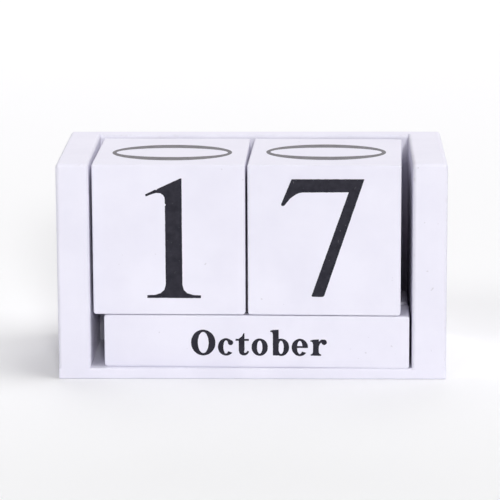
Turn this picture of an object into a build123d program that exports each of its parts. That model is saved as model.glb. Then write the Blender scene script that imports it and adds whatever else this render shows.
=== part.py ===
from build123d import *
import os
from math import cos, radians, sin

# Perpetual desk calendar: two loose date cubes stand on three loose month bars in an open-fronted tray.
# Millimetres. X runs to the right, Y to the back and Z up. The origin is the bottom centre of the tray.

# Loose blocks
CUBE_EDGE = 50.0
CUBE_FOOT_ROUND = 1.1  # on the two foot edges that run to the back
CUBE_ROUND = 0.4  # on the other edges
BAR_SECTION = 17.75
FRONT_BAR_LESS = 0.25  # the front bar is this much thinner, so the cubes stand on the other two
BAR_END_ROUND = 0.8  # above and below the ends
BAR_ROUND = 0.3  # on the other edges

# Boards of the tray; the right side is a little thicker than the left one
LEFT_SIDE_THICKNESS = 10.65
RIGHT_SIDE_THICKNESS = 11.3
BASE_THICKNESS = 3.6
BACK_THICKNESS = 7.2
BOARD_ROUND = 1.2
BASE_ROUND = 0.4
RIM_RISE = 0.55  # the boards end this far above the cubes

# How the blocks were set down: degrees clockwise, seen from above
LEFT_CUBE_TURN = 0.8
RIGHT_CUBE_TURN = 1.65
FRONT_BAR_TURN = 1.4

# Room left around the cubes
CUBE_LEFT_GAP = 0.95
CUBE_MIDDLE_GAP = 0.05  # between the furthest corners of the two cubes
CUBE_RIGHT_GAP = 2.35
CUBE_REAR_GAP = 3.0
LEFT_CUBE_SETBACK = 1.6
RIGHT_CUBE_SETBACK = 0.2

# Room left around the bars
BAR_LEFT_GAP = 4.35
BAR_RIGHT_GAP = 0.45
REAR_BAR_LEFT_GAP = 0.15
FRONT_BAR_SETBACK = 0.1
FRONT_BAR_GAP = 0.15  # between the front and the middle bar
REAR_BAR_GAP = 0.15  # between the middle and the rear bar
BAR_REAR_GAP = 0.4  # between the rear bar and the back board

# Panel pins
PIN_DIAMETER = 1.2
PIN_LENGTH = 22.0
PIN_POINT = 1.6
PIN_POINT_FLAT = 0.3  # diameter left at the tip
PIN_HEAD_DIAMETER = 2.0
PIN_HEAD_HEIGHT = 1.0
PIN_SET = 0.4  # each head is punched this far below the surface
PINS_IN_ROW = 3
SIDE_ROW_MARGIN = 11.0  # from the ends of a side board to the outer pins
BACK_ROW_MARGIN = 24.0  # from the ends of the back board to the outer base pins


def turned_reach(along, across, turn):
    """Room that a rectangle takes up along one of its sides when it is turned a little."""
    return along * cos(radians(turn)) + across * sin(radians(turn))


# Sizes that follow from the blocks
LEFT_CUBE_REACH = turned_reach(CUBE_EDGE, CUBE_EDGE, LEFT_CUBE_TURN)
RIGHT_CUBE_REACH = turned_reach(CUBE_EDGE, CUBE_EDGE, RIGHT_CUBE_TURN)
CLEAR_WIDTH = CUBE_LEFT_GAP + LEFT_CUBE_REACH + CUBE_MIDDLE_GAP + RIGHT_CUBE_REACH + CUBE_RIGHT_GAP
FRONT_BAR_SECTION = BAR_SECTION - FRONT_BAR_LESS
BAR_ROOM = CLEAR_WIDTH - BAR_LEFT_GAP - BAR_RIGHT_GAP
BAR_LENGTH = (BAR_ROOM - FRONT_BAR_SECTION * sin(radians(FRONT_BAR_TURN))) / cos(radians(FRONT_BAR_TURN))
FRONT_BAR_REACH = turned_reach(FRONT_BAR_SECTION, BAR_LENGTH, FRONT_BAR_TURN)
MIDDLE_BAR_FRONT = FRONT_BAR_SETBACK + FRONT_BAR_REACH + FRONT_BAR_GAP
REAR_BAR_FRONT = MIDDLE_BAR_FRONT + BAR_SECTION + REAR_BAR_GAP
DEPTH_FOR_BARS = REAR_BAR_FRONT + BAR_SECTION + BAR_REAR_GAP
DEPTH_FOR_LEFT_CUBE = LEFT_CUBE_SETBACK + LEFT_CUBE_REACH + CUBE_REAR_GAP
DEPTH_FOR_RIGHT_CUBE = RIGHT_CUBE_SETBACK + RIGHT_CUBE_REACH + CUBE_REAR_GAP
CLEAR_DEPTH = max(DEPTH_FOR_BARS, DEPTH_FOR_LEFT_CUBE, DEPTH_FOR_RIGHT_CUBE)
WIDTH = LEFT_SIDE_THICKNESS + CLEAR_WIDTH + RIGHT_SIDE_THICKNESS
DEPTH = CLEAR_DEPTH + BACK_THICKNESS
SEAT = BASE_THICKNESS + BAR_SECTION  # height of the cubes' undersides
HEIGHT = SEAT + CUBE_EDGE + RIM_RISE

# Planes of the tray
LEFT_INSIDE = LEFT_SIDE_THICKNESS - WIDTH / 2
RIGHT_INSIDE = WIDTH / 2 - RIGHT_SIDE_THICKNESS
CLEAR_MIDDLE = (LEFT_INSIDE + RIGHT_INSIDE) / 2
FRONT = -DEPTH / 2
REAR = DEPTH / 2
BACK_MIDDLE = REAR - BACK_THICKNESS / 2
TOUCH = 0.01  # two planes this close together count as one


def block(length, depth, height, left, front, bottom):
    """Box given by its size and by its lowest left front corner."""
    return Pos(left, front, bottom) * Box(length, depth, height, align=(Align.MIN, Align.MIN, Align.MIN))


def set_down(shape, length, left, foremost, bottom, turn=0):
    """Block, turned clockwise about its front left corner so that its right corner comes foremost."""
    front = foremost + length * sin(radians(turn))
    return Pos(left, front, bottom) * Rot(0, 0, -turn) * shape


def eased(board, rounding, is_exposed):
    """Board with only its exposed edges rounded; the ones that butt against a neighbour stay sharp."""
    exposed = [edge for edge in board.edges() if is_exposed(edge.center())]
    return fillet(exposed, rounding)


def is_at(value, plane):
    return abs(value - plane) < TOUCH


def spread(first, last):
    """Evenly spaced places of one row of pins."""
    step = (last - first) / (PINS_IN_ROW - 1)
    return [first + step * index for index in range(PINS_IN_ROW)]


def column(diameter, start, end, end_diameter=None):
    """Round bar, or a cone where the end diameter differs, from one depth to another along Z."""
    place = Pos(0, 0, start)
    if end_diameter is None:
        return place * Cylinder(diameter / 2, end - start, align=(Align.CENTER, Align.CENTER, Align.MIN))
    cone = Cone(diameter / 2, end_diameter / 2, end - start, align=(Align.CENTER, Align.CENTER, Align.MIN))
    return place * cone


def panel_pin():
    """Headed pin that runs into the wood along Z from a surface at zero."""
    neck = PIN_SET + PIN_HEAD_HEIGHT
    tip = PIN_SET + PIN_LENGTH
    head = column(PIN_HEAD_DIAMETER, PIN_SET, neck)
    shank = column(PIN_DIAMETER, neck, tip - PIN_POINT)
    point = column(PIN_DIAMETER, tip - PIN_POINT, tip, PIN_POINT_FLAT)
    return head + shank + point


def pin_row(places):
    """Pins of one row, and the wood that they and their punch marks take away."""
    pin = panel_pin()
    hole = pin + column(PIN_HEAD_DIAMETER, 0, PIN_SET)
    pins = [place * pin for place in places]
    holes = [place * hole for place in places]
    return Compound(pins), holes


# Rows of pins
side_row = spread(FRONT + SIDE_ROW_MARGIN, REAR - SIDE_ROW_MARGIN)
back_row = spread(LEFT_INSIDE + BACK_ROW_MARGIN, RIGHT_INSIDE - BACK_ROW_MARGIN)
upright_row = spread(BASE_THICKNESS + SIDE_ROW_MARGIN, HEIGHT - SIDE_ROW_MARGIN)
left_middle = LEFT_INSIDE - LEFT_SIDE_THICKNESS / 2
right_middle = RIGHT_INSIDE + RIGHT_SIDE_THICKNESS / 2
base_pins_left, holes_base_left = pin_row([Pos(left_middle, y, 0) for y in side_row])
base_pins_right, holes_base_right = pin_row([Pos(right_middle, y, 0) for y in side_row])
base_pins_back, holes_base_back = pin_row([Pos(x, BACK_MIDDLE, 0) for x in back_row])
side_pins_left, holes_left = pin_row([Pos(-WIDTH / 2, BACK_MIDDLE, z) * Rot(0, 90, 0) for z in upright_row])
side_pins_right, holes_right = pin_row([Pos(WIDTH / 2, BACK_MIDDLE, z) * Rot(0, -90, 0) for z in upright_row])


def base_board():
    """Full-width base; the other boards stand on it, so its top edges stay sharp under them."""
    blank = block(WIDTH, DEPTH, BASE_THICKNESS, -WIDTH / 2, FRONT, 0)
    board = eased(blank, BASE_ROUND, lambda middle: not is_at(middle.Z, BASE_THICKNESS))
    rod = Rot(0, 90, 0) * Cylinder(BASE_ROUND, CLEAR_WIDTH)
    corner = Box(CLEAR_WIDTH, BASE_ROUND, BASE_ROUND, align=(Align.CENTER, Align.MAX, Align.MIN))
    nosing = Pos(CLEAR_MIDDLE, FRONT + BASE_ROUND, BASE_THICKNESS - BASE_ROUND) * (corner - rod)
    return board - nosing - holes_base_left - holes_base_right - holes_base_back


def side_board(left, thickness, inside, base_holes, back_holes):
    """Side that stands on the base and covers one end of the back board."""
    blank = block(thickness, DEPTH, HEIGHT - BASE_THICKNESS, left, FRONT, BASE_THICKNESS)

    def is_exposed(middle):
        on_base = is_at(middle.Z, BASE_THICKNESS)
        beside_back = is_at(middle.X, inside) and is_at(middle.Y, REAR)
        return not (on_base or beside_back)

    return eased(blank, BOARD_ROUND, is_exposed) - base_holes - back_holes


def back_board():
    """Back that stands on the base between the sides; only its top edges show."""
    blank = block(CLEAR_WIDTH, BACK_THICKNESS, HEIGHT - BASE_THICKNESS, LEFT_INSIDE, REAR - BACK_THICKNESS,
                  BASE_THICKNESS)

    def is_exposed(middle):
        return is_at(middle.Z, HEIGHT) and is_at(middle.X, CLEAR_MIDDLE)

    board = eased(blank, BOARD_ROUND, is_exposed)
    return board - holes_base_back - holes_left - holes_right


def date_cube(left, setback, turn):
    """Cube that stands on the bars; the two foot edges that run to the back are rounder than the rest."""
    blank = block(CUBE_EDGE, CUBE_EDGE, CUBE_EDGE, 0, 0, 0)
    footed = fillet(blank.edges().filter_by(Axis.Y).group_by(Axis.Z)[0], CUBE_FOOT_ROUND)
    tops = footed.edges().filter_by(Axis.Y).group_by(Axis.Z)[-1]
    faces = footed.faces().sort_by(Axis.Y)
    sanded = fillet(tops + faces[0].edges() + faces[-1].edges(), CUBE_ROUND)
    return set_down(sanded, CUBE_EDGE, left, FRONT + setback, SEAT, turn)


def month_bar(left, setback, section=BAR_SECTION, turn=0):
    """Square bar that lies on the base; its ends are rounder, above and below, than its long edges."""
    blank = block(BAR_LENGTH, section, section, 0, 0, 0)
    ended = fillet(blank.edges().filter_by(Axis.Y), BAR_END_ROUND)
    faces = ended.faces().sort_by(Axis.Y)
    sanded = fillet(faces[0].edges() + faces[-1].edges(), BAR_ROUND)
    return set_down(sanded, BAR_LENGTH, left, FRONT + setback, BASE_THICKNESS, turn)


left_cube_left = LEFT_INSIDE + CUBE_LEFT_GAP
right_cube_left = left_cube_left + LEFT_CUBE_REACH + CUBE_MIDDLE_GAP
bar_left = LEFT_INSIDE + BAR_LEFT_GAP
nodes = {
    "base_board": base_board(),
    "left_side_board": side_board(-WIDTH / 2, LEFT_SIDE_THICKNESS, LEFT_INSIDE, holes_base_left, holes_left),
    "right_side_board": side_board(RIGHT_INSIDE, RIGHT_SIDE_THICKNESS, RIGHT_INSIDE, holes_base_right,
                                   holes_right),
    "back_board": back_board(),
    "base_pins_left": base_pins_left,
    "base_pins_right": base_pins_right,
    "base_pins_back": base_pins_back,
    "side_pins_left": side_pins_left,
    "side_pins_right": side_pins_right,
    "left_date_cube": date_cube(left_cube_left, LEFT_CUBE_SETBACK, LEFT_CUBE_TURN),
    "right_date_cube": date_cube(right_cube_left, RIGHT_CUBE_SETBACK, RIGHT_CUBE_TURN),
    "front_month_bar": month_bar(bar_left, FRONT_BAR_SETBACK, FRONT_BAR_SECTION, FRONT_BAR_TURN),
    "middle_month_bar": month_bar(bar_left, MIDDLE_BAR_FRONT),
    "rear_month_bar": month_bar(LEFT_INSIDE + REAR_BAR_LEFT_GAP, REAR_BAR_FRONT),
}

os.makedirs("parts", exist_ok=True)
for name, shape in nodes.items():
    export_step(shape, f"parts/{name}.step")
print(f"tray {WIDTH:.2f} x {DEPTH:.2f} x {HEIGHT:.2f} mm, bars {BAR_LENGTH:.2f} mm long")
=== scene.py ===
# %% [markdown]
# # A wooden block calendar
# The real thing is an open-fronted tray of thin boards, painted white, with two loose date cubes that stand
# on three loose month bars. This lesson dresses the construction model of it: every wooden piece gets its
# sanded edges and its paint, and the cubes and bars get their printed numbers and words.
# Everything is in metres and in the frame of the construction model, so each piece is made where it belongs.

# %% Load the construction model
import math

import bpy
from mathutils import Matrix, Vector
from mathutils.geometry import delaunay_2d_cdt
from mathutils.noise import noise_vector, seed_set


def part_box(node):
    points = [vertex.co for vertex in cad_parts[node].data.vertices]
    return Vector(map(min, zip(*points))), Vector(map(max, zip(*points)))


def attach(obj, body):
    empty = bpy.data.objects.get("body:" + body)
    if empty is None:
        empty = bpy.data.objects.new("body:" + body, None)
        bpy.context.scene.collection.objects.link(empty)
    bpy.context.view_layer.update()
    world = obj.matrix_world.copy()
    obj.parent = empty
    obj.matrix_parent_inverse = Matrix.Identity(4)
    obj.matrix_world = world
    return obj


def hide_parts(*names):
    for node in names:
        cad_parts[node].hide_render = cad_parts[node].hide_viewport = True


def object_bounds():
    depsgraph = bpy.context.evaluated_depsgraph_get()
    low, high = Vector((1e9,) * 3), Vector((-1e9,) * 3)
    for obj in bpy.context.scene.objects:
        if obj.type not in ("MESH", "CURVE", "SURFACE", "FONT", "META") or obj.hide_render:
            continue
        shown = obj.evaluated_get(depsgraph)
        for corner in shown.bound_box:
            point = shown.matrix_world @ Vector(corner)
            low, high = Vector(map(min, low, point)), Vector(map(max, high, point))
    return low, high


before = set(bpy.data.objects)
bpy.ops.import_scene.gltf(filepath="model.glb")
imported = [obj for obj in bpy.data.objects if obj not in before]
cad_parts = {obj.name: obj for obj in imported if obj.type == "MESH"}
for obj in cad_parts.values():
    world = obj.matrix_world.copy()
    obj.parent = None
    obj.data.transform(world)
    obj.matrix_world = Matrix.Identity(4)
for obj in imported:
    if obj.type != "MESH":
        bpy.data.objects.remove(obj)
cad_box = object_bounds()
MM = 0.001
print("construction model:", [f"{(high - low) / MM:.1f} mm" for low, high in zip(*cad_box)])


# %% [markdown]
# ## Helpers for node trees
# Materials and Geometry Nodes are both trees of nodes. They could be wired by hand in Blender's editors, but
# a script gives the same tree each run. One small helper adds a node, sets its properties and fills its
# inputs: an input that is given another node's output is linked, and any other value is typed in.

# %% Node helpers
def node(tree, kind, inputs=None, **properties):
    """Adds a node; inputs are named or numbered, and hold either a socket to link or a plain value."""
    made = tree.nodes.new(kind)
    for name, value in properties.items():
        setattr(made, name, value)
    for key, value in (inputs or {}).items():
        if isinstance(value, bpy.types.NodeSocket):
            tree.links.new(value, made.inputs[key])
        else:
            made.inputs[key].default_value = value
    return made


def calculate(tree, operation, *values):
    """Output of a Math node."""
    return node(tree, "ShaderNodeMath", dict(enumerate(values)), operation=operation).outputs[0]


def combine(tree, operation, *values):
    """Vector output of a Vector Math node."""
    return node(tree, "ShaderNodeVectorMath", dict(enumerate(values)), operation=operation).outputs[0]


def between(tree, value, low, high, to_low=0.0, to_high=1.0):
    """Output of a Map Range node that holds its ends."""
    limits = {"Value": value, 1: low, 2: high, 3: to_low, 4: to_high}
    return node(tree, "ShaderNodeMapRange", limits, clamp=True).outputs[0]


print("node helpers ready")


# %% [markdown]
# ## The paint
# White satin paint over sanded wood looks flat only from far away. Close up it is a little cloudy, the brush
# and the pores of the wood leave a faint relief along the grain, and the sanded edges have thinner paint.
# Pictures of all that would have to be wrapped round every piece. Noise worked out from Object coordinates
# needs no wrapping, and it runs on unbroken from board to board.

# %% Material helpers
def new_material(name):
    """Node material, its tree, its shader, and the Object coordinates that its patterns follow."""
    material = bpy.data.materials.new(name)
    material.use_nodes = True
    tree = material.node_tree
    place = node(tree, "ShaderNodeTexCoord").outputs["Object"]
    return material, tree, tree.nodes["Principled BSDF"], place


def noise(tree, place, scale, detail=2.0, roughness=0.5):
    """Value of a Noise Texture; scale is in features per metre."""
    settings = {"Vector": place, "Scale": scale, "Detail": detail, "Roughness": roughness}
    return node(tree, "ShaderNodeTexNoise", settings).outputs[0]


def mixed(tree, amount, first, second):
    """Colour output of a Mix node."""
    return node(tree, "ShaderNodeMix", {0: amount, 6: first, 7: second}, data_type="RGBA").outputs[2]


def bumped(tree, height, strength, depth):
    """Normal output of a Bump node."""
    settings = {"Height": height, "Strength": strength, "Distance": depth}
    return node(tree, "ShaderNodeBump", settings).outputs[0]


def dress(tree, shader, outputs):
    """Links outputs to the shader's inputs of the same names."""
    for name, output in outputs.items():
        tree.links.new(output, shader.inputs[name])


print("material helpers ready")

# %% White satin paint
PAINT_LIGHT = (0.83, 0.815, 0.915, 1)
PAINT_SHADE = (0.79, 0.775, 0.88, 1)
THIN_PAINT = (0.70, 0.67, 0.73, 1)
FLECK = (0.50, 0.48, 0.53, 1)
FLECK_STRENGTH = 0.4
CLOUD_SCALE = 55
FLECK_SCALE = 620
WORN_PATCH_SCALE = 330
BRUSH_SCALE = 1500
PEEL_SCALE = 2600
BRUSH_SHARE = 0.6
PAINT_RELIEF = 0.06 * MM
PAINT_RELIEF_STRENGTH = 0.35
PAINT_ROUGHNESS = (0.50, 0.60)
PAINT_IOR = 1.46
GRAIN_STRETCH = 0.06


def satin_paint(name, along_grain):
    """White paint whose brush marks and raised pores run along one axis of the frame."""
    material, tree, shader, place = new_material(name)
    clouds = noise(tree, place, CLOUD_SCALE, 4)
    colour = mixed(tree, between(tree, clouds, 0.35, 0.65), PAINT_SHADE, PAINT_LIGHT)
    flecks = between(tree, noise(tree, place, FLECK_SCALE, 1), 0.78, 0.82)
    colour = mixed(tree, calculate(tree, "MULTIPLY", flecks, FLECK_STRENGTH), colour, FLECK)
    edge = node(tree, "ShaderNodeAttribute", attribute_name="edge_wear").outputs["Fac"]
    patches = between(tree, noise(tree, place, WORN_PATCH_SCALE, 4, 0.65), 0.55, 0.80)
    colour = mixed(tree, calculate(tree, "MULTIPLY", edge, patches), colour, THIN_PAINT)
    brush = noise(tree, combine(tree, "MULTIPLY", place, along_grain), BRUSH_SCALE, 3, 0.6)
    peel = noise(tree, place, PEEL_SCALE)
    relief = calculate(tree, "ADD", calculate(tree, "MULTIPLY", brush, BRUSH_SHARE),
                       calculate(tree, "MULTIPLY", peel, 1 - BRUSH_SHARE))
    dress(tree, shader, {
        "Base Color": colour, "Roughness": between(tree, clouds, 0.3, 0.7, *PAINT_ROUGHNESS),
        "Normal": bumped(tree, relief, PAINT_RELIEF_STRENGTH, PAINT_RELIEF),
    })
    shader.inputs["IOR"].default_value = PAINT_IOR
    return material


paint_lengthwise = satin_paint("satin_paint_lengthwise", (GRAIN_STRETCH, 1, 1))
paint_upright = satin_paint("satin_paint_upright", (1, 1, GRAIN_STRETCH))
print("paint made:", paint_lengthwise.name, paint_upright.name)


# %% [markdown]
# ## A blank with marked edges
# Every wooden piece starts as a sawn blank. A plain cube has too few points for the sanding that follows, so
# this tree makes a box with a fine grid on each face from a few named inputs. It also marks how much each
# edge is eased, because the cubes' feet and the bars' ends are rounder than their other edges. An edge that
# lies against a neighbouring board is left unmarked, so the tray's joints stay closed under the paint.

# %% Helpers for Geometry Nodes
def new_tree(name, sockets):
    """Geometry Nodes tree with named inputs: the tree, its inputs and the node of its one output."""
    tree = bpy.data.node_groups.new(name, "GeometryNodeTree")
    for label, kind in sockets:
        tree.interface.new_socket(name=label, in_out="INPUT", socket_type="NodeSocket" + kind)
    tree.interface.new_socket(name="Geometry", in_out="OUTPUT", socket_type="NodeSocketGeometry")
    inputs = node(tree, "NodeGroupInput").outputs
    return tree, inputs, node(tree, "NodeGroupOutput")


def end_tree(tree, geometry, material, output):
    """Last nodes of a tree: instances become real, and the faces get their material."""
    real = node(tree, "GeometryNodeRealizeInstances", {"Geometry": geometry})
    painted = node(tree, "GeometryNodeSetMaterial", {"Geometry": real.outputs[0], "Material": material})
    tree.links.new(painted.outputs[0], output.inputs[0])


def largest(tree, vector):
    """Largest of a vector's three components."""
    parts = node(tree, "ShaderNodeSeparateXYZ", {0: vector}).outputs
    return calculate(tree, "MAXIMUM", calculate(tree, "MAXIMUM", parts[0], parts[1]), parts[2])


def scaled(tree, vector, factor):
    """Vector times a number."""
    return node(tree, "ShaderNodeVectorMath", {0: vector, 3: factor}, operation="SCALE").outputs[0]


def stored(tree, geometry, name, value, domain, data_type="FLOAT"):
    """Geometry that carries a value under a name."""
    inputs = {"Geometry": geometry, "Name": name, "Value": value}
    attribute = node(tree, "GeometryNodeStoreNamedAttribute", inputs, domain=domain, data_type=data_type)
    return attribute.outputs[0]


def input_names(tree):
    """Names of a tree's inputs, to print."""
    return [item.name for item in tree.interface.items_tree if item.in_out == "INPUT"]


print("tree helpers ready")

# %% Geometry Nodes: sawn blank
SHARP = math.radians(60)
TOUCH = 0.05 * MM
ALONG = (0.4, 0.6)  # between these an edge begins to count as running along an axis
WHICH = ("First", "Second", "Third")


def lies_against(tree, place, centre, size):
    """True where a place is in or on a neighbour's box."""
    offset = combine(tree, "ABSOLUTE", combine(tree, "SUBTRACT", place, centre))
    outside = combine(tree, "SUBTRACT", offset, scaled(tree, size, 0.5))
    return calculate(tree, "LESS_THAN", largest(tree, outside), TOUCH)


def sawn_blank_tree():
    """Gridded box whose edges carry the weight that the Bevel modifier reads."""
    tree, inputs, output = new_tree("sawn blank", [
        ("Size", "Vector"), ("Centre", "Vector"), ("Turn", "Float"), ("Spacing", "Float"),
        ("Round Axis", "Vector"), ("Other Share", "Float"), ("Foot Only", "Float"), ("Material", "Material"),
    ] + [(which + part, "Vector") for which in WHICH for part in (" Neighbour", " Neighbour Size")])
    steps = combine(tree, "FLOOR", combine(tree, "DIVIDE", inputs["Size"], inputs["Spacing"]))
    counts = node(tree, "ShaderNodeSeparateXYZ", {0: steps}).outputs
    lines = {key: calculate(tree, "ADD", count, 1) for key, count in enumerate(counts, 1)}
    grid = node(tree, "GeometryNodeMeshCube", {"Size": inputs["Size"], **lines})
    angles = node(tree, "ShaderNodeCombineXYZ", {2: inputs["Turn"]})
    turn = node(tree, "FunctionNodeEulerToRotation", {0: angles.outputs[0]})
    placed = node(tree, "GeometryNodeTransform", {
        "Geometry": grid.outputs["Mesh"], "Translation": inputs["Centre"], "Rotation": turn.outputs[0]})
    place = node(tree, "GeometryNodeInputPosition").outputs[0]
    first, second, third = [
        lies_against(tree, place, inputs[which + " Neighbour"], inputs[which + " Neighbour Size"])
        for which in WHICH
    ]
    hidden = calculate(tree, "MAXIMUM", calculate(tree, "MAXIMUM", first, second), third)
    angle = node(tree, "GeometryNodeInputMeshEdgeAngle").outputs["Unsigned Angle"]
    corner = calculate(tree, "GREATER_THAN", angle, SHARP)
    shown = calculate(tree, "MULTIPLY", corner, calculate(tree, "SUBTRACT", 1.0, hidden))
    ends = node(tree, "GeometryNodeInputMeshEdgeVertices").outputs
    run = combine(tree, "NORMALIZE", combine(tree, "SUBTRACT", ends["Position 2"], ends["Position 1"]))
    along = node(tree, "ShaderNodeVectorMath", {0: run, 1: inputs["Round Axis"]}, operation="DOT_PRODUCT")
    from_centre = combine(tree, "SUBTRACT", place, inputs["Centre"])
    height = node(tree, "ShaderNodeSeparateXYZ", {0: from_centre}).outputs[2]
    spared = calculate(tree, "MULTIPLY", calculate(tree, "GREATER_THAN", height, 0.0), inputs["Foot Only"])
    rounder = calculate(tree, "SUBTRACT", calculate(tree, "ABSOLUTE", along.outputs["Value"]), spared)
    share = between(tree, rounder, *ALONG, inputs["Other Share"], 1.0)
    weight = calculate(tree, "MULTIPLY", shown, share)
    marked = stored(tree, placed.outputs[0], "bevel_weight_edge", weight, "EDGE")
    end_tree(tree, marked, inputs["Material"], output)
    return tree


SAWN_BLANK = sawn_blank_tree()
print("inputs of the blank:", input_names(SAWN_BLANK))


# %% [markdown]
# ## Sanding by hand
# A Bevel modifier eases the marked edges, but alone it leaves them all alike. After it a second tree does
# what the sanding block and the knocks of use do: the faces stay flat to a few hundredths of a millimetre,
# the eased edges wander a little, some spots are nicked, and the punched pins leave shallow dimples. A bump
# in the material could only pretend this. Here it is in the mesh, and it only takes wood away, so no piece
# grows.

# %% Geometry Nodes: hand sanding
FLAT = 0.99
SLANTED = 0.78
ANY_JOINT = 0.01
HOLLOW_SCALE = 70
WANDER_SCALE = 140
NICK_SCALE = 260


def hand_sanding_tree():
    """Moves points inwards: hollow faces, wandering edges, nicks and punched dimples."""
    tree, inputs, output = new_tree("hand sanding", [
        ("Geometry", "Geometry"), ("Face Hollow", "Float"), ("Edge Wander", "Float"), ("Nick Depth", "Float"),
        ("Punch Marks", "Object"), ("Punch Radius", "Float"), ("Punch Depth", "Float"),
        ("Seed", "Float"), ("Material", "Material"),
    ])
    place = node(tree, "GeometryNodeInputPosition").outputs[0]
    normal = node(tree, "GeometryNodeInputNormal").outputs[0]
    angle = node(tree, "GeometryNodeInputMeshEdgeAngle").outputs["Unsigned Angle"]
    joint = calculate(tree, "GREATER_THAN", angle, SHARP)
    at_joint = node(tree, "GeometryNodeFieldOnDomain", {0: joint}, data_type="FLOAT", domain="EDGE")
    off_joint = calculate(tree, "LESS_THAN", at_joint.outputs[0], ANY_JOINT)
    flatness = largest(tree, combine(tree, "ABSOLUTE", normal))
    eased = calculate(tree, "MULTIPLY", between(tree, flatness, FLAT, SLANTED), off_joint)

    def patchy(depth, scale, detail, low, high, least=0.0):
        """A depth times noise that is spread from its low to its high value."""
        settings = {"Vector": place, "W": inputs["Seed"], "Scale": scale, "Detail": detail}
        value = node(tree, "ShaderNodeTexNoise", settings, noise_dimensions="4D").outputs[0]
        return calculate(tree, "MULTIPLY", between(tree, value, low, high, least), inputs[depth])

    hollow = patchy("Face Hollow", HOLLOW_SCALE, 1, 0.2, 0.8, 0.4)
    wander = patchy("Edge Wander", WANDER_SCALE, 2, 0.3, 0.75)
    nick = patchy("Nick Depth", NICK_SCALE, 2, 0.62, 0.78)
    edge_loss = calculate(tree, "MULTIPLY", eased, calculate(tree, "ADD", wander, nick))
    heads = node(tree, "GeometryNodeObjectInfo", {"Object": inputs["Punch Marks"]}).outputs["Geometry"]
    near = node(tree, "GeometryNodeProximity", {0: heads}, target_element="POINTS").outputs
    dish = node(tree, "ShaderNodeMapRange", {
        "Value": near["Distance"], 1: 0.0, 2: inputs["Punch Radius"], 3: inputs["Punch Depth"], 4: 0.0,
    }, interpolation_type="SMOOTHSTEP").outputs[0]
    dimple = calculate(tree, "MULTIPLY", dish, near["Is Valid"])
    loss = calculate(tree, "ADD", calculate(tree, "ADD", hollow, edge_loss), dimple)
    finer = node(tree, "GeometryNodeSubdivideMesh", {"Mesh": inputs["Geometry"], "Level": 1})
    worn = stored(tree, finer.outputs[0], "edge_wear", eased, "POINT")
    creased = stored(tree, worn, "sharp_edge", joint, "EDGE", "BOOLEAN")
    inward = scaled(tree, normal, calculate(tree, "MULTIPLY", loss, -1.0))
    moved = node(tree, "GeometryNodeSetPosition", {"Geometry": creased, "Offset": inward})
    smooth = node(tree, "GeometryNodeSetShadeSmooth", {"Geometry": moved.outputs[0]})
    end_tree(tree, smooth.outputs[0], inputs["Material"], output)
    return tree


HAND_SANDING = hand_sanding_tree()
print("inputs of the sanding:", input_names(HAND_SANDING))


# %% [markdown]
# ## Making a wooden piece
# The recipe for every piece is the same: blank, Bevel, sanding. The modifiers could stay live, but other
# tools read plain meshes, so the recipe is evaluated once and kept as one. The mesh then stands for its node
# of the construction model and rides on the same body.

# %% From modifiers to a mesh
collection = bpy.context.scene.collection


def use_tree(holder, tree, values):
    """Adds a Geometry Nodes modifier and sets its inputs by their identifiers."""
    modifier = holder.modifiers.new(tree.name, "NODES")
    modifier.node_group = tree
    for item in tree.interface.items_tree:
        if item.in_out == "INPUT" and item.name in values:
            modifier[item.identifier] = values[item.name]


def plain_mesh(holder):
    """Mesh that a holder's modifiers make; the holder is removed."""
    graph = bpy.context.evaluated_depsgraph_get()
    evaluated = holder.evaluated_get(graph)
    mesh = bpy.data.meshes.new_from_object(evaluated, preserve_all_data_layers=True, depsgraph=graph)
    bpy.data.objects.remove(holder)
    return mesh


print("pieces go into", collection.name)

# %% Recipe for a wooden piece
GRID_SPACING = 1.35 * MM
BEVEL_STEPS = 4
EDGE_WANDER = 0.16 * MM
NICK_DEPTH = 0.30 * MM
PUNCH_RADIUS = 1.9 * MM
PUNCH_DEPTH = 0.16 * MM
EVEN_EDGES = {"Round Axis": (1, 0, 0), "Other Share": 1.0, "Foot Only": 0.0}
NO_NEIGHBOUR = (Vector((0, 0, -1)), Vector((0, 0, 0)))


def wooden_piece(node_name, body, size, centre, rounding, material, seed, hollow,
                 edges=EVEN_EDGES, turn=0.0, neighbours=(), marks=None):
    """Sanded and painted piece that stands for a node of the construction model."""
    holder = bpy.data.objects.new(node_name + "_recipe", bpy.data.meshes.new(node_name + "_recipe"))
    collection.objects.link(holder)
    boxes = [NO_NEIGHBOUR] * len(WHICH)
    boxes[:len(neighbours)] = neighbours
    use_tree(holder, SAWN_BLANK, {
        "Size": size, "Centre": centre, "Turn": turn, "Spacing": GRID_SPACING, "Material": material, **edges,
        **{which + " Neighbour": box[0] for which, box in zip(WHICH, boxes)},
        **{which + " Neighbour Size": box[1] for which, box in zip(WHICH, boxes)},
    })
    bevel = holder.modifiers.new("ease", "BEVEL")
    bevel.limit_method = "WEIGHT"
    bevel.width = rounding
    bevel.segments = BEVEL_STEPS
    bevel.use_clamp_overlap = False
    use_tree(holder, HAND_SANDING, {
        "Face Hollow": hollow, "Edge Wander": EDGE_WANDER, "Nick Depth": NICK_DEPTH,
        "Punch Marks": marks, "Punch Radius": PUNCH_RADIUS, "Punch Depth": PUNCH_DEPTH,
        "Seed": seed, "Material": material,
    })
    piece = bpy.data.objects.new("painted_" + node_name, plain_mesh(holder))
    piece.data.name = piece.name
    collection.objects.link(piece)
    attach(piece, body)
    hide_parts(node_name)
    print(piece.name, "has", len(piece.data.polygons), "faces")


# %% [markdown]
# ## The tray
# Four boards: a full-width base, two sides that stand on it, and a back between the sides. Thin pins hold
# them, driven up through the base and in through the sides, then punched below the surface, filled and
# painted over. One mesh could be the whole tray, but separate boards keep the fine seams of the joints. A
# point marks where each pin enters the wood, and the sanding dimples the paint there.

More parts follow.
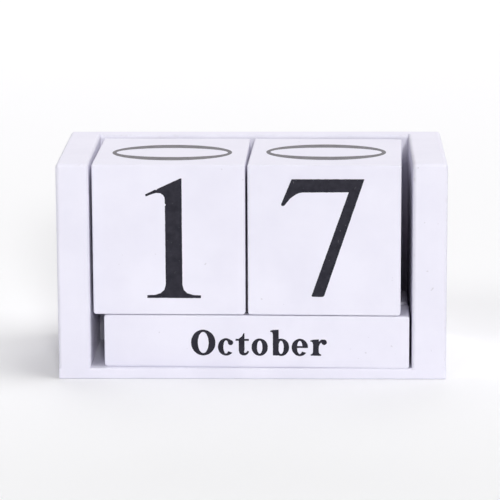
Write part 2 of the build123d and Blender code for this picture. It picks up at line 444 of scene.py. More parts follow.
# %% Punch marks of the pins
X, Y, Z = range(3)
PIN_ROWS = {  # the axis along the row, the axis that the pins are driven along, and the side they enter from
    "base_pins_left": (Y, Z, "low"), "base_pins_right": (Y, Z, "low"), "base_pins_back": (X, Z, "low"),
    "side_pins_left": (Z, X, "low"), "side_pins_right": (Z, X, "high"),
}
PINS_IN_ROW = 3
surface = {"low": cad_box[0], "high": cad_box[1]}


def pin_marks(name, rows):
    """Object with one vertex where each pin of some rows enters the wood."""
    places = []
    for row in rows:
        along, driven, side = PIN_ROWS[row]
        low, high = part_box(row)
        third = X + Y + Z - along - driven
        radius = (high[third] - low[third]) / 2
        for index in range(PINS_IN_ROW):
            place = (low + high) / 2
            share = index / (PINS_IN_ROW - 1)
            place[along] = low[along] + radius + share * (high[along] - low[along] - 2 * radius)
            place[driven] = surface[side][driven]
            places.append(place)
    mesh = bpy.data.meshes.new(name)
    mesh.from_pydata(places, [], [])
    holder = bpy.data.objects.new(name, mesh)
    collection.objects.link(holder)
    return holder


marks = {
    "base_board": pin_marks("base_marks", ["base_pins_left", "base_pins_right", "base_pins_back"]),
    "left_side_board": pin_marks("left_marks", ["side_pins_left"]),
    "right_side_board": pin_marks("right_marks", ["side_pins_right"]),
    "back_board": None,
}
print("punch marks:", {name: len(holder.data.vertices) for name, holder in marks.items() if holder})

# %% Boards
BOARD_ROUND = 1.2 * MM
BASE_ROUND = 0.4 * MM
BOARD_HOLLOW = 0.01 * MM
BOARD_SEED_STEP = 1.7
TOUCHING = {
    "base_board": ("left_side_board", "right_side_board", "back_board"),
    "left_side_board": ("base_board", "back_board"),
    "right_side_board": ("base_board", "back_board"),
    "back_board": ("left_side_board", "right_side_board", "base_board"),
}


def middle_and_size(node_name):
    """Centre and size of a node's box."""
    low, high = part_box(node_name)
    return (low + high) / 2, high - low


boards = {name: middle_and_size(name) for name in marks}
for index, (name, (centre, size)) in enumerate(boards.items()):
    rounding = BASE_ROUND if name == "base_board" else BOARD_ROUND
    paint = paint_upright if "side" in name else paint_lengthwise
    wooden_piece(name, "tray", size, centre, rounding, paint, index * BOARD_SEED_STEP, BOARD_HOLLOW,
                 neighbours=[boards[other] for other in TOUCHING[name]], marks=marks[name])
for holder in marks.values():
    if holder:
        bpy.data.objects.remove(holder)

# %% [markdown]
# ## The loose blocks
# The cubes and bars were set down by hand, so some of them stand a degree or so askew. A box around a turned
# block has the same centre as the block, and its height is the block's own edge, so nothing is measured. The
# blank is turned inside its tree and not as an object, because a finished piece stays unturned at the origin.
# Handling has rounded the edges under the cubes' sides and at the bars' ends more than the others.

# %% Cubes and bars
CUBE_FOOT_ROUND = 1.1 * MM
CUBE_EDGE_ROUND = 0.4 * MM
BAR_END_ROUND = 0.8 * MM
BAR_EDGE_ROUND = 0.3 * MM
DEPTHWISE = (0, 1, 0)
CUBE_EDGES = {"Round Axis": DEPTHWISE, "Other Share": CUBE_EDGE_ROUND / CUBE_FOOT_ROUND, "Foot Only": 1.0}
BAR_EDGES = {"Round Axis": DEPTHWISE, "Other Share": BAR_EDGE_ROUND / BAR_END_ROUND, "Foot Only": 0.0}
BLOCK_HOLLOW = 0.02 * MM
FIRST_BLOCK_SEED = 20
BLOCK_SEED_STEP = 2.3
TURN = {"left_date_cube": 0.8, "right_date_cube": 1.65, "front_month_bar": 1.4}  # degrees, seen from above
BODY = {
    "left_date_cube": "left_cube", "right_date_cube": "right_cube", "front_month_bar": "front_bar",
    "middle_month_bar": "middle_bar", "rear_month_bar": "rear_bar",
}
bar_length = middle_and_size("middle_month_bar")[1].x
blocks = {}
for index, (name, body) in enumerate(BODY.items()):
    centre, size = middle_and_size(name)
    is_bar = "bar" in name
    block_size = Vector((bar_length if is_bar else size.z, size.z, size.z))
    turn = -math.radians(TURN.get(name, 0))
    blocks[name] = (Matrix.Translation(centre) @ Matrix.Rotation(turn, 4, "Z"), block_size)
    rounding, edges = (BAR_END_ROUND, BAR_EDGES) if is_bar else (CUBE_FOOT_ROUND, CUBE_EDGES)
    seed = FIRST_BLOCK_SEED + index * BLOCK_SEED_STEP
    wooden_piece(name, body, block_size, centre, rounding, paint_lengthwise, seed, BLOCK_HOLLOW, edges, turn)

# %% [markdown]
# ## Drawing the print
# The cubes carry plain numerals and the bars carry the names of the months. A font would bring its own
# outlines, so the characters are drawn here from a few parts, as a sign painter builds them: bars, oval rings
# that are thick at the sides, dots, and pen strokes whose width changes along the way. The parts may overlap,
# because they are joined later.

# %% Bars, rings and dots
def bar(left, low, right, high):
    """Upright rectangle."""
    return [[(left, low), (right, low), (right, high), (left, high)]]


def shape(*corners):
    """Any closed outline."""
    return [list(corners)]


def strip(first, second):
    """Triangles between two rows of points."""
    pieces = []
    for a, b, c, d in zip(first, second, second[1:], first[1:]):
        pieces += [[a, b, c], [a, c, d]]
    return pieces


def ring(x, y, across, up, side, cap, start=0, end=360, steps=48):
    """Oval ring or a part of one, thick at its sides and thin at its top and bottom."""
    angles = [math.radians(start + (end - start) * step / steps) for step in range(steps + 1)]
    outer = [(x + across * math.cos(angle), y + up * math.sin(angle)) for angle in angles]
    inner = [(x + (across - side) * math.cos(angle), y + (up - cap) * math.sin(angle)) for angle in angles]
    return strip(outer, inner)


def dot(x, y, across, up=None, steps=24):
    """Filled oval."""
    angles = [math.tau * step / steps for step in range(steps)]
    return [[(x + across * math.cos(angle), y + (up or across) * math.sin(angle)) for angle in angles]]


print("a ring is made of", len(ring(0, 0, 2, 2, 1, 1)), "triangles")


# %% Pen strokes
def pen(*stops, steps=8):
    """Smooth stroke through stops that each hold x, y and the width there."""
    rows = [stops[0], *stops, stops[-1]]
    path = []
    for four in zip(rows, rows[1:], rows[2:], rows[3:]):
        for share in (step / steps for step in range(steps)):
            path.append([0.5 * (2 * b + (c - a) * share + (2 * a - 5 * b + 4 * c - d) * share ** 2
                                + (3 * b - a - 3 * c + d) * share ** 3) for a, b, c, d in zip(*four)])
    path.append(stops[-1])
    left, right = [], []
    for (x, y, width), behind, ahead in zip(path, path[:1] + path, path[1:] + path[-1:]):
        run, rise = ahead[0] - behind[0], ahead[1] - behind[1]
        half = width / 2 / math.hypot(run, rise)
        left.append((x - rise * half, y + run * half))
        right.append((x + rise * half, y - run * half))
    return strip(left, right)


print("a stroke with three stops is made of", len(pen((0, 0, 1), (1, 1, 2), (2, 0, 1))), "triangles")


# %% [markdown]
# ## Letters for the months
# Sturdy bookish letters with bracketed serifs, on a scale where a capital is 100 high. Each could be drawn on
# its own, but most share a stem, a serif, an arch or a bowl, so these come first and keep the letters alike.

# %% Serifs
STEM = 23
SLAB = 8
REACH = 9
CAPITAL = 100
X_HEIGHT = 66
ASCENDER = 104
DESCENDER = -28


def foot(left, right, level=0, reach_left=REACH, reach_right=REACH, slab=SLAB, grow=1):
    """Serif under a stem, with hollow shoulders."""
    corners = [(left - reach_left, 0), (right + reach_right, 0), (right + reach_right, 0.7 * slab)]
    corners += [(right + 0.4 * reach_right, slab), (right + 0.1 * reach_right, 1.35 * slab)]
    corners += [(right, 2 * slab), (left, 2 * slab)]
    corners += [(left - 0.1 * reach_left, 1.35 * slab), (left - 0.4 * reach_left, slab)]
    corners += [(left - reach_left, 0.7 * slab)]
    return [[(x, level + grow * y) for x, y in corners]]


def head(left, right, level=CAPITAL, reach_left=REACH, reach_right=REACH):
    """The same serif on top of a stem."""
    return foot(left, right, level, reach_left, reach_right, grow=-1)


def flag(left, level=X_HEIGHT):
    """Short slanted serif at the upper left of a small letter's stem."""
    return shape((left - 10, level - 9), (left - 10, level - 4.5), (left, level - 1.5),
                 (left + STEM, level), (left + STEM, level - 20), (left, level - 20),
                 (left - 1.5, level - 13), (left - 4, level - 10))


print("a serif has", len(foot(0, STEM)[0]), "corners, and a flag has", len(flag(0)[0]))


# %% Stems, arches and bowls
def stem(left, low, high):
    """Small letter's bare stem."""
    return bar(left, low, left + STEM, high)


def upright(left, high):
    """Small letter's stem with its flag and foot."""
    return stem(left, 0, high - 4) + flag(left, high) + foot(left, left + STEM)


def arch(left, right):
    """Curve from one stem over into the next, and that stem's foot."""
    middle = right + STEM / 2
    curve = pen((left + STEM - 3, 40, 7), (left + STEM + 4, 54.5, 9), (left + STEM + 15, 61, 13),
                (middle - 1, 52, 21), (middle, 38, STEM), (middle, 30, STEM))
    return curve + stem(right, 0, 34) + foot(right, right + STEM)


def bowl(left):
    """Round part of a small letter."""
    return ring(left + 32, 33, 32, 35, 21.5, 8.5)


def fork():
    """The two slanted strokes of a v."""
    thick = shape((6, 66), (32, 66), (48, 17), (41.5, -1), (32, -1))
    thin = shape((34, -1), (41.5, -1), (69, 66), (59, 66))
    return thick + thin + head(6, 32, X_HEIGHT, 6, 6) + head(59, 69, X_HEIGHT, 7, 7)


print("an n takes", len(upright(10, X_HEIGHT) + arch(10, 53)), "parts")

# %% Capitals
LETTERS = {
    "A": shape((40, 100), (57, 100), (96, 0), (65, 0)) + shape((8, 0), (18, 0), (51, 86), (47, 99), (43, 99))
    + bar(24, 27, 76, 35) + foot(8, 18) + foot(66, 95, 0, 7, 7),
    "D": bar(10, 0, 36, 100) + ring(40, 50, 48, 50, 27, 9, -90, 90) + bar(30, 0, 41, 9) + bar(30, 91, 41, 100)
    + foot(10, 36, 0, REACH, 0) + head(10, 36, 100, REACH, 0),
    "F": bar(10, 0, 36, 100) + foot(10, 36) + head(10, 36, 100, REACH, 0) + bar(30, 91, 72, 100)
    + shape((74, 100), (56, 100), (56, 91), (62, 88.5), (67, 80), (69, 70), (74, 70)) + bar(30, 46, 52, 54)
    + shape((57, 33), (53, 33), (51, 42), (46, 46), (46, 54), (51, 58), (53, 67), (57, 67)),
    "J": bar(26, 38, 52, 100) + head(26, 52) + dot(11.5, 17, 11.5)
    + pen((39, 40, 26), (38.5, 22, 24.5), (32, 9, 17), (20, 3.5, 10), (9, 9, 8)),
    "M": bar(16, 0, 25, 100) + bar(84, 0, 110, 100) + shape((11, 100), (40, 100), (66, 22), (59, 0), (52, 0))
    + shape((52, 0), (60, 0), (90, 84), (90, 100), (84, 100)) + foot(16, 25) + foot(84, 110)
    + head(13, 34, 100, REACH, 0) + head(90, 110, 100, 0, REACH),
    "N": bar(14, 0, 23, 100) + bar(79, 0, 88, 100) + shape((9, 100), (37, 100), (88, 9), (88, 0), (76, 0))
    + foot(14, 23) + head(79, 88) + head(12, 30, 100, REACH, 0),
    "O": ring(50, 50, 48, 52, 27, 9.5),
    "S": pen((63, 74, 8), (57, 88, 9), (41, 95, 10.5), (21, 88, 18), (16.5, 74, 22), (27, 60, 26),
             (47, 49, 28), (59, 34, 26), (56, 15, 19), (39, 5, 10.5), (19, 9, 9), (9, 25, 8))
    + shape((61, 66), (67, 66), (67, 100), (62, 100), (57, 90))
    + shape((4, 0), (9, 0), (15, 10), (11, 33), (5, 34)),
}
print("capitals drawn:", "".join(LETTERS))

# %% Small letters
LETTERS |= {
    "a": pen((11, 51, 7), (17, 61, 8.5), (31, 63, 9.5), (44, 58, 17), (50.5, 46, 22), (51, 30, 22.5),
             (51, 14, 21), (55, 6.5, 14), (63, 4.5, 9), (70, 8, 6))
    + dot(12.5, 49, 9.8) + ring(29, 18.5, 28, 20, 20, 8),
    "b": stem(8, 0, ASCENDER - 4) + flag(8, ASCENDER) + bowl(8),
    "c": ring(32, 33, 32, 35, 21.5, 8.5, 50, 320) + dot(49.5, 50.5, 10.5),
    "e": ring(32, 33, 32, 35, 21.5, 8.5, -3, 322) + bar(15, 31, 63.5, 38.5),
    "g": bowl(0) + stem(43, 0, X_HEIGHT - 3) + head(43, 66, X_HEIGHT, 0, REACH) + dot(13, -13.5, 9.5)
    + pen((54.5, 20, STEM), (54, -4, 22), (47, -19, 15), (31, -24.5, 10), (17, -22, 8.5), (10, -15, 7)),
    "h": upright(10, ASCENDER) + arch(10, 53),
    "i": upright(10, X_HEIGHT) + dot(21, 90, 13.5),
    "l": upright(10, ASCENDER),
    "m": upright(10, X_HEIGHT) + arch(10, 52) + arch(52, 94),
    "n": upright(10, X_HEIGHT) + arch(10, 53),
    "o": bowl(0),
    "p": stem(8, DESCENDER, X_HEIGHT - 4) + flag(8) + foot(8, 31, DESCENDER) + bowl(8),
    "r": upright(10, X_HEIGHT) + pen((30, 40, 7), (36, 53, 9), (44, 59.5, 11), (53, 59, 10))
    + dot(53.5, 54.5, 10.8),
    "s": pen((47, 47, 6), (42, 58, 7.5), (30, 62.5, 8.5), (16, 57.5, 14), (14, 48, 17), (22, 39, 20),
             (36, 31.5, 21), (43.5, 21, 19), (40, 9.5, 14), (28, 4, 8.5), (13, 6.5, 7.5), (6, 17, 6.5))
    + shape((45, 43), (50, 43), (50, 66), (46, 66), (42, 59))
    + shape((2, 0), (6, 0), (11, 7), (8, 22), (3, 23)),
    "t": stem(12, 26, 62) + bar(0, 58, 52, 66)
    + shape((12, 64), (35, 64), (35, 89), (31, 89), (25, 76), (12, 67))
    + pen((23.5, 27, STEM), (24.5, 12, 20), (33, 5, 12), (43, 7, 9), (50, 17, 6.5)),
    "u": stem(10, 30, X_HEIGHT - 4) + flag(10) + stem(53, 6, X_HEIGHT - 4) + flag(53)
    + foot(53, 76, 0, 0, REACH)
    + pen((21.5, 34, STEM), (21.5, 24, STEM), (23, 13, 20), (34, 5, 13), (46, 9, 9), (56, 22, 7)),
    "v": fork(),
    "y": fork() + pen((41, 8, 9), (34, -10, 9), (26, -21, 9.5), (13, -23, 8)) + dot(13, -17, 10),
}
print("letters drawn:", "".join(LETTERS))

# %% [markdown]
# ## Numerals
# Tall figures with a strong difference between thick and thin strokes, drawn in millimetres from the middle
# of the baseline. They have their real size and aren't scaled as the letters are, because each has a face of
# its own. A 9 is a 6 turned over, and so six faces on each of two cubes are enough for every date.

# %% Numerals
NUMERALS = {
    "0": ring(0, 20, 14.55, 19.9, 6.0, 1.4, steps=96),
    "1": shape((-8.8, 0), (8.8, 0), (8.8, 0.95), (6.2, 1.05), (4.3, 1.65), (3.2, 2.75), (2.75, 4.4),
               (2.75, 39.95), (2.1, 39.8), (-5.2, 36.4), (-5.5, 36.0), (-5.9, 36.15), (-9.2, 34.55),
               (-9.0, 33.9), (-5.6, 35.1), (-4.2, 34.95), (-3.3, 34.35), (-2.85, 33.5), (-2.75, 32.4),
               (-2.75, 31.5), (-2.4, 31.1), (-2.75, 30.7), (-2.75, 4.4), (-3.2, 2.75), (-4.4, 1.65),
               (-6.2, 1.05), (-8.8, 0.95)),
    "2": pen((-10.8, 29.5, 1.5), (-9.3, 35, 1.9), (-3, 38.6, 1.9), (4.0, 37.4, 3.4), (7.9, 32.2, 5.2),
             (7.6, 25.8, 5.4), (3.8, 18.3, 4.2), (-3.2, 10, 2.8), (-9.8, 3.4, 2.2))
    + dot(-8.9, 29.5, 2.9, 3.1)
    + shape((-12.6, 0), (10.4, 0), (13, 9.6), (11.9, 9.8), (10.2, 6.6), (8.2, 5.3), (6, 5.1), (-8.8, 5.1),
            (-12.6, 1.4)),
    "3": pen((-9.8, 30.6, 1.4), (-7.7, 36.3, 1.7), (-1, 38.7, 1.7), (4.6, 36.9, 3.4), (7.0, 31.3, 4.9),
             (5.0, 25.4, 3.6), (0, 22.0, 1.5), (-3.6, 21.4, 1.3))
    + pen((-3.6, 21.4, 1.3), (2, 20.9, 1.9), (7.0, 17.5, 4.2), (8.6, 11.0, 5.6), (6.1, 4.5, 4.2),
          (0, 0.9, 1.7), (-7, 3.0, 1.5), (-10.4, 8.6, 1.4))
    + dot(-8.3, 31, 2.7, 2.8) + dot(-8.8, 9, 2.9, 3),
    "4": bar(2.2, 0.5, 7.4, 39.5) + foot(2.2, 7.4, 0, 5, 5, 0.95) + bar(-13.4, 9.8, 12.6, 11.4)
    + shape((-13.4, 9.8), (-11.4, 11.3), (4.6, 36.6), (4.6, 39.5), (3.6, 39.5), (-13.4, 11.0)),
    "5": shape((-8.9, 18.6), (-7.5, 18.6), (-6.0, 34.6), (-6.0, 39.5), (-7.3, 39.5))
    + dot(-8.9, 8.6, 2.9, 3) + shape((-7.2, 39.5), (8.6, 39.5), (7.2, 34.5), (-6.6, 34.5))
    + pen((-8.2, 19.2, 1.4), (-4, 23.4, 1.7), (1.5, 24.6, 2.2), (7.0, 21.3, 4.5), (9.0, 13.3, 5.6),
          (6.5, 5.3, 4.3), (0.5, 0.9, 1.8), (-6.5, 2.6, 1.5), (-10.4, 7.8, 1.4)),
    "6": ring(0.6, 12.3, 11.6, 12.6, 5.2, 1.3, steps=72) + dot(8.4, 34.0, 2.7, 2.9)
    + pen((-8.3, 12, 5.2), (-7.9, 20, 5.2), (-5.2, 28.5, 4.4), (0.2, 35.6, 2.6), (5.6, 38.6, 1.6),
          (9.6, 35.9, 1.3)),
    "7": shape((-10.6, 39.14), (13.04, 39.24), (0.06, 0.45), (-0.32, 0.05), (-0.9, 0), (-3.72, 0),
               (-4.15, 0.25), (7.96, 34.9), (-7.1, 34.75), (-8.2, 34.55), (-9.2, 34.1), (-11.1, 32.7),
               (-12.9, 30.45), (-13.4, 30.2), (-13.9, 30.35), (-14.05, 30.8)),
    "8": ring(0, 29.7, 9.4, 9.8, 4.2, 1.3, steps=64) + ring(0, 10.7, 11.4, 11.2, 5.0, 1.3, steps=72),
}
print("numerals drawn:", "".join(NUMERALS))

# %% [markdown]
# ## From drawing to ink
# Printed ink is a thin film on the paint. It could be a colour in the paint's material, but a film of its own
# keeps a sharp edge from near by. A triangulation joins the parts of a character and keeps whatever lies in
# any of them, and points that nearly touch are welded, so no slivers stay. The edge of the print is then made
# to wander a little, as ink does on brushed paint. Blender starts this noise from the clock, so it is given a
# seed. The area becomes a closed film, whose face lies where the blank's face was, so it stands only a
# hundredth or two of a millimetre above the sanded paint.

# %% Joining the parts of a character
EDGE_STEP = 0.8  # millimetres, as all lengths of the print
LEAST_AREA = 1e-5
MERGE = 1e-5
WELD = 0.012
INSIDE = 1  # the triangulation's choice to keep only what the parts cover


def more_points(corners):
    """Outline with points added along its straight runs."""
    points = []
    for start, end in zip(corners, corners[1:] + corners[:1]):
        count = max(1, math.ceil((end - start).length / EDGE_STEP))
        points += [start.lerp(end, index / count) for index in range(count)]
    return points


def twice_area(corners):
    """Twice an outline's area, negative where it runs clockwise."""
    return sum(a.x * b.y - a.y * b.x for a, b in zip(corners, corners[1:] + corners[:1]))


def welded(points, triangles):
    """The same area after points that nearly touch have become one, without the slivers between them."""
    kept, number = [], []
    for point in points:
        near = [index for index, other in enumerate(kept) if (point - other).length < WELD]
        number.append(near[0] if near else len(kept))
        if not near:
            kept.append(point)
    renumbered = [[number[corner] for corner in corners] for corners in triangles]
    return kept, [corners for corners in renumbered if len(set(corners)) == 3]


def flat_print(parts, scale=1.0):
    """Points and triangles of the area that a character's parts cover together, in millimetres."""
    points, faces = [], []
    for part in parts:
        corners = [Vector(corner) * scale for corner in part]
        if len(corners) > 3:
            corners = more_points(corners)
        area = twice_area(corners)
        if abs(area) < LEAST_AREA:
            continue
        if area < 0:
            corners.reverse()
        faces.append(list(range(len(points), len(points) + len(corners))))
        points += corners
    joined, _, triangles, _, _, sources = delaunay_2d_cdt(points, [], faces, INSIDE, MERGE)
    return welded(joined, [corners for corners, covered_by in zip(triangles, sources) if covered_by])


areas = {figure: flat_print(parts) for figure, parts in NUMERALS.items()}
print("triangles of the numerals:", {figure: len(triangles) for figure, (_, triangles) in areas.items()})

# %% A film with a wandering edge
PRINT_WANDER = 0.06
WANDER_LENGTH = 0.7
INK_DEPTH = 0.15
WANDER_SEED = 3
seed_set(WANDER_SEED)


def ink_film(points, triangles, seed):
    """Vertices and faces of a closed film with a wandering edge; its face is at height zero."""
    count = len(points)
    edges = {(a, b) for corners in triangles for a, b in zip(corners, corners[1:] + corners[:1])}
    rim = sorted((a, b) for a, b in edges if (b, a) not in edges)
    wandered = [Vector((point.x, point.y, 0)) for point in points]
    for a, _ in rim:
        shift = noise_vector(Vector((points[a].x, points[a].y, seed)) / WANDER_LENGTH) * PRINT_WANDER
        wandered[a] += Vector((shift.x, shift.y, 0))
    vertices = wandered + [point - Vector((0, 0, INK_DEPTH)) for point in wandered]
    faces = [list(corners) for corners in triangles]
    faces += [[count + corner for corner in reversed(corners)] for corners in triangles]
    faces += [[a, count + a, count + b, b] for a, b in rim]
    return vertices, faces


print("a film of the 1 has", len(ink_film(*areas["1"], 0)[1]), "faces")

# %% [markdown]
# ## The ink
# Charcoal ink with a slight sheen. Seen close, the paint shows through in pinholes, and the film is not
# equally thick. A flat dark grey would look cut out of card, so noise varies its depth and opens pinholes.

# %% Charcoal ink
INK_DARK = (0.0070, 0.0060, 0.0150, 1)
INK_THIN = (0.0215, 0.0200, 0.0325, 1)
INK_PINHOLE = (0.11, 0.105, 0.12, 1)
INK_BODY_SCALE = 420
INK_GRAIN_SCALE = 3200
PINHOLE_SCALE = 1500
INK_RELIEF = 0.04 * MM
INK_RELIEF_STRENGTH = 0.3
INK_ROUGHNESS = (0.36, 0.46)
INK_SHEEN = 0.26


def charcoal_ink():
    """Dark ink of uneven depth with pinholes."""
    material, tree, shader, place = new_material("charcoal_ink")
    thickness = noise(tree, place, INK_BODY_SCALE, 4, 0.6)
    colour = mixed(tree, between(tree, thickness, 0.3, 0.7), INK_DARK, INK_THIN)
    pinholes = between(tree, noise(tree, place, PINHOLE_SCALE, 2, 0.6), 0.70, 0.78)
    grain = noise(tree, place, INK_GRAIN_SCALE)
    dress(tree, shader, {
        "Base Color": mixed(tree, pinholes, colour, INK_PINHOLE),
        "Roughness": between(tree, thickness, 0.3, 0.7, *INK_ROUGHNESS),
        "Normal": bumped(tree, grain, INK_RELIEF_STRENGTH, INK_RELIEF),
    })
    shader.inputs["Specular IOR Level"].default_value = INK_SHEEN
    return material


ink = charcoal_ink()
print("ink made:", ink.name)


# %% Laying print on a block
def on_face(block, right, up, x=0.0, y=0.0):
    """Matrix that lays a drawing on a block's face, x and y millimetres from the face's middle."""
    right, up = Vector(right), Vector(up)
    out = right.cross(up)
    place, size = blocks[block]
    depth = abs(size.dot(out)) / 2
    turned = Matrix((right, up, out)).transposed().to_4x4()
    return place @ Matrix.Translation(out * depth) @ turned @ Matrix.Translation(Vector((x, y, 0)) * MM)


def printed_piece(name, body, prints):
    """One piece with every print of a block; prints hold an area in millimetres and its place."""
    vertices, faces = [], []
    for seed, ((points, triangles), place) in enumerate(prints):
        film_points, film_faces = ink_film(points, triangles, seed)
        first = len(vertices)
        vertices += [place @ (point * MM) for point in film_points]
        faces += [[first + corner for corner in face] for face in film_faces]
    mesh = bpy.data.meshes.new(name)
    mesh.from_pydata(vertices, [], faces)
    mesh.materials.append(ink)
    piece = bpy.data.objects.new(name, mesh)
    collection.objects.link(piece)
    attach(piece, body)
    print(name, "has", len(prints), "prints and", len(faces), "faces")


# %% [markdown]
# ## Numbers on the cubes
# The front of each cube shows a figure upright, and the zero on its top lies on its side, as it does once the
# cube has been tipped over a few times. The figures aren't quite centred, because they were printed by hand.
# All prints of a cube are one piece, which rides on the cube's body, so they are lifted out together with it.

# %% Printed cubes
CUBE_FACES = {  # the directions to the right and up, as the face is read
    "front": ((1, 0, 0), (0, 0, 1)), "back": ((-1, 0, 0), (0, 0, 1)), "right": ((0, 1, 0), (0, 0, 1)),
    "left": ((0, -1, 0), (0, 0, 1)), "top": ((0, -1, 0), (1, 0, 0)), "bottom": ((0, 1, 0), (1, 0, 0)),
}
SHOWN = {
    "left_date_cube": {"front": "1", "top": "0", "right": "2", "left": "3", "back": "4", "bottom": "5"},
    "right_date_cube": {"front": "7", "top": "0", "right": "8", "left": "1", "back": "2", "bottom": "6"},
}
SIDE_SHIFT = {("left_date_cube", "1"): 1.6, ("left_date_cube", "0"): 2.4, ("right_date_cube", "0"): 0.7}
BASELINE = {"0": -20.0, "1": -19.42, "7": -18.8}
USUAL_BASELINE = -19.75
for cube, figures in SHOWN.items():
    prints = []
    for face, figure in figures.items():
        shift = SIDE_SHIFT.get((cube, figure), 0.0)
        height = BASELINE.get(figure, USUAL_BASELINE)
        prints.append((areas[figure], on_face(cube, *CUBE_FACES[face], shift, height)))
    printed_piece(BODY[cube] + "_numerals", BODY[cube], prints)

# %% [markdown]
# ## Months on the bars
# Twelve months fit on the four long faces of three bars. Each name reads upright when its face is turned to
# the front. A word is set as a typesetter does it, letter after letter with the same gap, and then centred.

# %% Setting a word
LETTER_GAP = 9.5


def word(text):
    """A word's parts, set in a line and centred on it."""
    parts, reach = [], 0.0
    for letter in text:
        sides = [x for part in LETTERS[letter] for x, _ in part]
        start = reach - min(sides)
        parts += [[(x + start, y) for x, y in part] for part in LETTERS[letter]]
        reach += max(sides) - min(sides) + LETTER_GAP
    middle = (reach - LETTER_GAP) / 2
    return [[(x - middle, y) for x, y in part] for part in parts]


print("the longest month takes", len(word("September")), "parts")

# %% Printed bars
CAPITAL_HEIGHT = 8.4
MONTH_BASELINE = -4.6
WORD_SHIFT = 0.8
BAR_FACES = [((1, 0, 0), up) for up in ((0, 0, 1), (0, 1, 0), (0, 0, -1), (0, -1, 0))]
MONTHS = {
    "front_month_bar": ("October", "November", "December", "September"),
    "middle_month_bar": ("May", "June", "July", "August"),
    "rear_month_bar": ("January", "February", "March", "April"),
}
for bar_name, names in MONTHS.items():
    prints = []
    for name, (right, up) in zip(names, BAR_FACES):
        area = flat_print(word(name), CAPITAL_HEIGHT / CAPITAL)
        prints.append((area, on_face(bar_name, right, up, WORD_SHIFT, MONTH_BASELINE)))
    printed_piece(BODY[bar_name] + "_months", BODY[bar_name], prints)

# %% [markdown]
# ## The pins
# The pins are hidden in the wood, but they are part of the object. Their shape in the construction model is
# right already, so nothing is modelled again: they only get the finish of drawn wire, with its fine streaks.

# %% Drawn steel wire
WIRE_DARK = (0.42, 0.42, 0.44, 1)
WIRE_LIGHT = (0.62, 0.62, 0.64, 1)
WIRE_STRETCH = (1, 1, 0.05)
WIRE_STREAK_SCALE = 6000
WIRE_ROUGHNESS = (0.25, 0.4)


def drawn_wire():
    """Bright steel with fine streaks."""
    material, tree, shader, place = new_material("drawn_wire")
    streaks = noise(tree, combine(tree, "MULTIPLY", place, WIRE_STRETCH), WIRE_STREAK_SCALE)
    dress(tree, shader, {
        "Base Color": mixed(tree, streaks, WIRE_DARK, WIRE_LIGHT),
        "Roughness": between(tree, streaks, 0.3, 0.7, *WIRE_ROUGHNESS),
    })
    shader.inputs["Metallic"].default_value = 1.0
    return material


wire = drawn_wire()
for row in PIN_ROWS:
    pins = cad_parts[row]
    pins.data.materials.clear()
    pins.data.materials.append(wire)
print("pins finished:", len(PIN_ROWS), "rows")

# %% [markdown]
# ## The studio
# A plain pale floor, so wide that its edge isn't seen, and soft light from several sides. Area lights near by
# would make one side of the floor brighter, so most lights are suns: they fall alike everywhere, and their
# angle makes the shadows soft. One area light stands behind the calendar as a bright screen. The camera sees
# the tops of the cubes at a flat angle, so the ink there mirrors the screen, and the two zeros look grey.

# %% Floor
FLOOR_SHADE = (0.93, 0.93, 0.94, 1)
FLOOR_LIGHT = (0.95, 0.95, 0.955, 1)
FLOOR_CLOUD_SCALE = 3
FLOOR_ROUGHNESS = 0.9
FLOOR_HALF = 6.0
FLOOR_LEVEL = -0.02 * MM


def pale_floor():
    """Matt floor, a little cloudy."""
    material, tree, shader, place = new_material("pale_floor")
    clouds = noise(tree, place, FLOOR_CLOUD_SCALE)
    dress(tree, shader, {"Base Color": mixed(tree, clouds, FLOOR_SHADE, FLOOR_LIGHT)})
    shader.inputs["Roughness"].default_value = FLOOR_ROUGHNESS
    return material


floor_mesh = bpy.data.meshes.new("floor")
sides = ((-1, -1), (1, -1), (1, 1), (-1, 1))
floor_mesh.from_pydata([(x * FLOOR_HALF, y * FLOOR_HALF, FLOOR_LEVEL) for x, y in sides], [], [(0, 1, 2, 3)])
floor_mesh.materials.append(pale_floor())
floor = bpy.data.objects.new("floor", floor_mesh)
collection.objects.link(floor)
print("floor made:", 2 * FLOOR_HALF, "m wide")

# %% White surround
SURROUND_STRENGTH = 0.03
scene = bpy.context.scene
scene.view_settings.view_transform = "Standard"
scene.world = bpy.data.worlds.new("white_surround")
scene.world.use_nodes = True
background = scene.world.node_tree.nodes["Background"]
background.inputs["Color"].default_value = (1, 1, 1, 1)
background.inputs["Strength"].default_value = SURROUND_STRENGTH
print("surround made:", scene.world.name)


# %% Lights that fall alike everywhere
def place_light(name, lamp, place, aim):
    """Light at a place, pointed at another."""
    holder = bpy.data.objects.new(name, lamp)
    holder.location = place
    holder.rotation_euler = (Vector(aim) - Vector(place)).to_track_quat("-Z", "Y").to_euler()
    collection.objects.link(holder)
    return holder


def even_light(name, azimuth, elevation, spread, strength):
    """Sun from a side given in degrees from the front and from the floor."""
    lamp = bpy.data.lights.new(name, "SUN")
    lamp.angle = math.radians(spread)
    lamp.energy = strength
    azimuth, elevation = math.radians(azimuth), math.radians(elevation)
    level = math.cos(elevation)
    place = (math.sin(azimuth) * level, -math.cos(azimuth) * level, math.sin(elevation))
    place_light(name, lamp, place, (0, 0, 0))


even_light("left_window", azimuth=-30, elevation=40, spread=24, strength=0.60)
even_light("front_softbox", azimuth=8, elevation=18, spread=8, strength=1.34)
even_light("right_ceiling_light", azimuth=79, elevation=63, spread=42, strength=1.50)
even_light("rear_ceiling_light", azimuth=180, elevation=60, spread=40, strength=0.70)

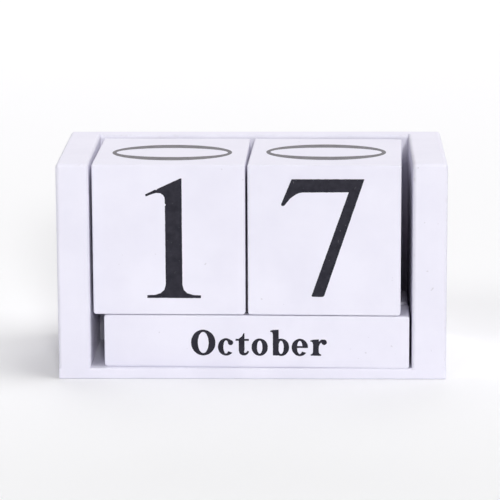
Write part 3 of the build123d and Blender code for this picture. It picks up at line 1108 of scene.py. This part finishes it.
# %% Bright screen behind
SCREEN_PLACE = (0, 2.6, 0.8)
SCREEN_AIM = (0, 0, 0.05)
SCREEN_WIDTH = 4.0
SCREEN_HEIGHT = 1.6
SCREEN_POWER = 31
SCREEN_TINT = (1.0, 0.965, 1.0)
screen = bpy.data.lights.new("backdrop", "AREA")
screen.shape = "RECTANGLE"
screen.size = SCREEN_WIDTH
screen.size_y = SCREEN_HEIGHT
screen.energy = SCREEN_POWER
screen.color = SCREEN_TINT
place_light("backdrop", screen, SCREEN_PLACE, SCREEN_AIM).visible_camera = False
print("screen made:", SCREEN_WIDTH, "by", SCREEN_HEIGHT, "m")

# %% [markdown]
# ## The camera
# The picture was taken with a long lens from a little above and slightly right of the middle. A constraint
# could aim the camera at the object, but three plain angles keep its small pan and roll. The focal length and
# the place were worked out from the corners of the tray and the cubes.

# %% Camera
CAMERA_PLACE = (21.5, -943.4, 238.6)  # millimetres
CAMERA_PAN = -1.384  # degrees; negative turns it to the left
CAMERA_TILT = 12.078  # degrees downwards
CAMERA_ROLL = 0.254  # degrees
LENS = 206.08  # millimetres on a sensor 36 mm wide
SENSOR = 36.0


def aimed_camera(name, place, pan, tilt, roll):
    """Camera that looks along +Y when all its angles are zero."""
    pan, tilt, roll = (math.radians(angle) for angle in (pan, tilt, roll))
    forward = Vector((math.sin(pan) * math.cos(tilt), math.cos(pan) * math.cos(tilt), -math.sin(tilt)))
    level = Vector((math.cos(pan), -math.sin(pan), 0))
    down = forward.cross(level)
    right = math.cos(roll) * level + math.sin(roll) * down
    up = math.sin(roll) * level - math.cos(roll) * down
    camera = bpy.data.objects.new(name, bpy.data.cameras.new(name))
    camera.matrix_world = Matrix.Translation(place) @ Matrix((right, up, -forward)).transposed().to_4x4()
    camera.data.lens = LENS
    camera.data.sensor_width = SENSOR
    collection.objects.link(camera)
    return camera


scene.camera = aimed_camera("camera", Vector(CAMERA_PLACE) * MM, CAMERA_PAN, CAMERA_TILT, CAMERA_ROLL)
print("camera at", [round(value, 3) for value in scene.camera.location])
